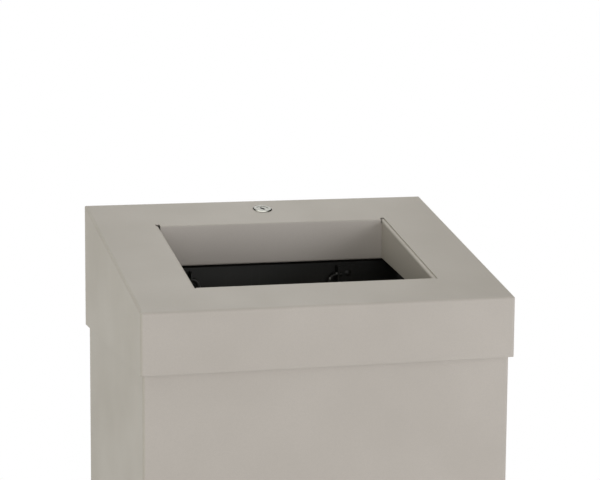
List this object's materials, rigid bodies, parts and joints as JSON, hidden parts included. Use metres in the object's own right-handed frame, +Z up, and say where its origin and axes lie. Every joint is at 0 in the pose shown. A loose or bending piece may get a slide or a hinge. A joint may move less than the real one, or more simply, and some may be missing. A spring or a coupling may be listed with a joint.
{
  "type": "waste bin",
  "caption": "Free-standing folded-steel waste bin with a lift-out liner and a lift-off sloping lid that has an open chute and a cam lock.",
  "frame": {"origin": "on the ground, under the middle of the lid", "axes": "+Z up, -Y towards the front, where the lid is lowest, +X to the right for someone who faces the front"},
  "size_m": [0.4, 0.3, 0.7992],
  "materials": {
    "grey_powder_coat": "satin powder coat on folded steel sheet",
    "black_paint": "satin black enamel on steel sheet",
    "zinc": "bright zinc plating",
    "chrome": "polished nickel-chrome plating",
    "rubber": "matt moulded rubber"
  },
  "bodies": {
    "base": {"body_shell": "grey_powder_coat", "rear_panel": "grey_powder_coat", "panel_rivets": "zinc", "rim_frame": "grey_powder_coat", "rim_buffers": "rubber", "floor_pan": "grey_powder_coat", "feet": "rubber", "foot_bolts": "zinc", "foot_nuts": "zinc", "lock_keeper": "zinc", "keeper_rivets": "zinc"},
    "liner": {"liner": "black_paint", "handle_lugs": "black_paint", "lug_rivets": "black_paint"},
    "handle_front": {"liner_handle_front": "black_paint"},
    "handle_rear": {"liner_handle_rear": "black_paint"},
    "lid": {"lid_shell": "grey_powder_coat", "chute_side_left": "grey_powder_coat", "chute_side_right": "grey_powder_coat", "lid_rail_left": "grey_powder_coat", "lid_rail_right": "grey_powder_coat", "lock_housing": "chrome", "lock_washer": "zinc", "lock_nut": "zinc"},
    "lock_cylinder": {"lock_plug": "chrome", "lock_cam": "zinc", "cam_screw": "zinc"}
  },
  "joints": [
    {"name": "lid_lift", "type": "slide", "parent": "base", "child": "lid", "axis": [0, 0, 1], "range_m": [0, 1]},
    {"name": "lock_turn", "type": "hinge", "parent": "lid", "child": "lock_cylinder", "pos_m": [0, 0.121, 0.79304], "axis": [0, -0.2334, 0.9724], "range_deg": [0, 90]},
    {"name": "liner_lift", "type": "slide", "parent": "base", "child": "liner", "axis": [0, 0, 1], "range_m": [0, 0.8]},
    {"name": "handle_front_swing", "type": "hinge", "parent": "liner", "child": "handle_front", "pos_m": [0, -0.1091, 0.7164], "axis": [1, 0, 0], "range_deg": [0, 172]},
    {"name": "handle_rear_swing", "type": "hinge", "parent": "liner", "child": "handle_rear", "pos_m": [0, 0.1091, 0.7164], "axis": [-1, 0, 0], "range_deg": [0, 172]}
  ],
  "couplings": [
    {"joint": "liner_lift", "follows": "lid_lift", "ratio": 0.8},
    {"joint": "handle_front_swing", "follows": "lid_lift", "rad_per_m": 3},
    {"joint": "handle_rear_swing", "follows": "lid_lift", "rad_per_m": 3}
  ]
}
